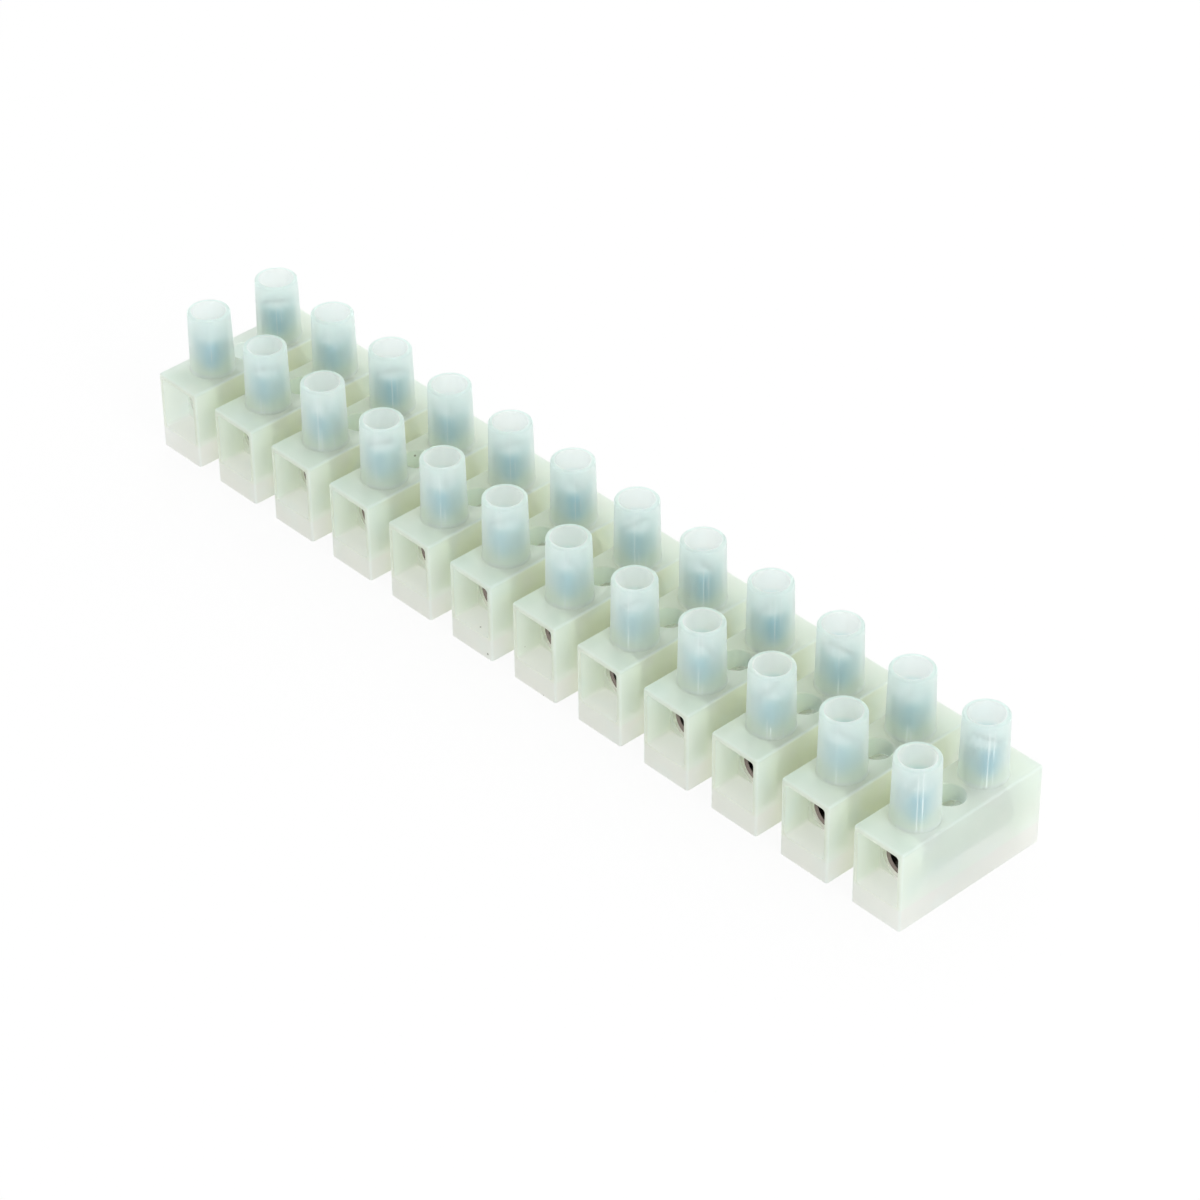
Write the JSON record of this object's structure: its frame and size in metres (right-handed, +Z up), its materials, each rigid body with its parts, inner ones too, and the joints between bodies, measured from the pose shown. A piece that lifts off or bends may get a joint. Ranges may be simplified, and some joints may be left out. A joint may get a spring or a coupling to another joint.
{
  "type": "screw terminal block",
  "caption": "Terminal strip of milky plastic blocks in a row, each with a metal clamp tube for wires from both sides and slotted clamp screws down two round towers.",
  "frame": {"origin": "middle of the underside, on the mounting surface", "axes": "+X along the row of poles, +Y along the wires, +Z up out of the mounting surface through the screw towers"},
  "size_m": [0.1166, 0.0204, 0.0174],
  "materials": {
    "milky_polyamide": "satin",
    "plated_brass": "satin",
    "zinc_steel": "satin"
  },
  "bodies": {
    "strip": {"housing": "milky_polyamide", "clamp_tube_1": "plated_brass", "clamp_tube_2": "plated_brass", "clamp_tube_3": "plated_brass", "clamp_tube_4": "plated_brass", "clamp_tube_5": "plated_brass", "clamp_tube_6": "plated_brass", "clamp_tube_7": "plated_brass", "clamp_tube_8": "plated_brass", "clamp_tube_9": "plated_brass", "clamp_tube_10": "plated_brass", "clamp_tube_11": "plated_brass", "clamp_tube_12": "plated_brass"},
    "screw_1_front": {"clamp_screw_1_front": "zinc_steel"},
    "screw_1_rear": {"clamp_screw_1_rear": "zinc_steel"},
    "screw_2_front": {"clamp_screw_2_front": "zinc_steel"},
    "screw_2_rear": {"clamp_screw_2_rear": "zinc_steel"},
    "screw_3_front": {"clamp_screw_3_front": "zinc_steel"},
    "screw_3_rear": {"clamp_screw_3_rear": "zinc_steel"},
    "screw_4_front": {"clamp_screw_4_front": "zinc_steel"},
    "screw_4_rear": {"clamp_screw_4_rear": "zinc_steel"},
    "screw_5_front": {"clamp_screw_5_front": "zinc_steel"},
    "screw_5_rear": {"clamp_screw_5_rear": "zinc_steel"},
    "screw_6_front": {"clamp_screw_6_front": "zinc_steel"},
    "screw_6_rear": {"clamp_screw_6_rear": "zinc_steel"},
    "screw_7_front": {"clamp_screw_7_front": "zinc_steel"},
    "screw_7_rear": {"clamp_screw_7_rear": "zinc_steel"},
    "screw_8_front": {"clamp_screw_8_front": "zinc_steel"},
    "screw_8_rear": {"clamp_screw_8_rear": "zinc_steel"},
    "screw_9_front": {"clamp_screw_9_front": "zinc_steel"},
    "screw_9_rear": {"clamp_screw_9_rear": "zinc_steel"},
    "screw_10_front": {"clamp_screw_10_front": "zinc_steel"},
    "screw_10_rear": {"clamp_screw_10_rear": "zinc_steel"},
    "screw_11_front": {"clamp_screw_11_front": "zinc_steel"},
    "screw_11_rear": {"clamp_screw_11_rear": "zinc_steel"},
    "screw_12_front": {"clamp_screw_12_front": "zinc_steel"},
    "screw_12_rear": {"clamp_screw_12_rear": "zinc_steel"}
  },
  "joints": [
    {"name": "screw_1_front_travel", "type": "slide", "parent": "strip", "child": "screw_1_front", "axis": [0, 0, -1], "range_m": [0, 0.0028]},
    {"name": "screw_1_rear_travel", "type": "slide", "parent": "strip", "child": "screw_1_rear", "axis": [0, 0, -1], "range_m": [0, 0.0028]},
    {"name": "screw_2_front_travel", "type": "slide", "parent": "strip", "child": "screw_2_front", "axis": [0, 0, -1], "range_m": [0, 0.0028]},
    {"name": "screw_2_rear_travel", "type": "slide", "parent": "strip", "child": "screw_2_rear", "axis": [0, 0, -1], "range_m": [0, 0.0028]},
    {"name": "screw_3_front_travel", "type": "slide", "parent": "strip", "child": "screw_3_front", "axis": [0, 0, -1], "range_m": [0, 0.0028]},
    {"name": "screw_3_rear_travel", "type": "slide", "parent": "strip", "child": "screw_3_rear", "axis": [0, 0, -1], "range_m": [0, 0.0028]},
    {"name": "screw_4_front_travel", "type": "slide", "parent": "strip", "child": "screw_4_front", "axis": [0, 0, -1], "range_m": [0, 0.0028]},
    {"name": "screw_4_rear_travel", "type": "slide", "parent": "strip", "child": "screw_4_rear", "axis": [0, 0, -1], "range_m": [0, 0.0028]},
    {"name": "screw_5_front_travel", "type": "slide", "parent": "strip", "child": "screw_5_front", "axis": [0, 0, -1], "range_m": [0, 0.0028]},
    {"name": "screw_5_rear_travel", "type": "slide", "parent": "strip", "child": "screw_5_rear", "axis": [0, 0, -1], "range_m": [0, 0.0028]},
    {"name": "screw_6_front_travel", "type": "slide", "parent": "strip", "child": "screw_6_front", "axis": [0, 0, -1], "range_m": [0, 0.0028]},
    {"name": "screw_6_rear_travel", "type": "slide", "parent": "strip", "child": "screw_6_rear", "axis": [0, 0, -1], "range_m": [0, 0.0028]},
    {"name": "screw_7_front_travel", "type": "slide", "parent": "strip", "child": "screw_7_front", "axis": [0, 0, -1], "range_m": [0, 0.0028]},
    {"name": "screw_7_rear_travel", "type": "slide", "parent": "strip", "child": "screw_7_rear", "axis": [0, 0, -1], "range_m": [0, 0.0028]},
    {"name": "screw_8_front_travel", "type": "slide", "parent": "strip", "child": "screw_8_front", "axis": [0, 0, -1], "range_m": [0, 0.0028]},
    {"name": "screw_8_rear_travel", "type": "slide", "parent": "strip", "child": "screw_8_rear", "axis": [0, 0, -1], "range_m": [0, 0.0028]},
    {"name": "screw_9_front_travel", "type": "slide", "parent": "strip", "child": "screw_9_front", "axis": [0, 0, -1], "range_m": [0, 0.0028]},
    {"name": "screw_9_rear_travel", "type": "slide", "parent": "strip", "child": "screw_9_rear", "axis": [0, 0, -1], "range_m": [0, 0.0028]},
    {"name": "screw_10_front_travel", "type": "slide", "parent": "strip", "child": "screw_10_front", "axis": [0, 0, -1], "range_m": [0, 0.0028]},
    {"name": "screw_10_rear_travel", "type": "slide", "parent": "strip", "child": "screw_10_rear", "axis": [0, 0, -1], "range_m": [0, 0.0028]},
    {"name": "screw_11_front_travel", "type": "slide", "parent": "strip", "child": "screw_11_front", "axis": [0, 0, -1], "range_m": [0, 0.0028]},
    {"name": "screw_11_rear_travel", "type": "slide", "parent": "strip", "child": "screw_11_rear", "axis": [0, 0, -1], "range_m": [0, 0.0028]},
    {"name": "screw_12_front_travel", "type": "slide", "parent": "strip", "child": "screw_12_front", "axis": [0, 0, -1], "range_m": [0, 0.0028]},
    {"name": "screw_12_rear_travel", "type": "slide", "parent": "strip", "child": "screw_12_rear", "axis": [0, 0, -1], "range_m": [0, 0.0028]}
  ]
}
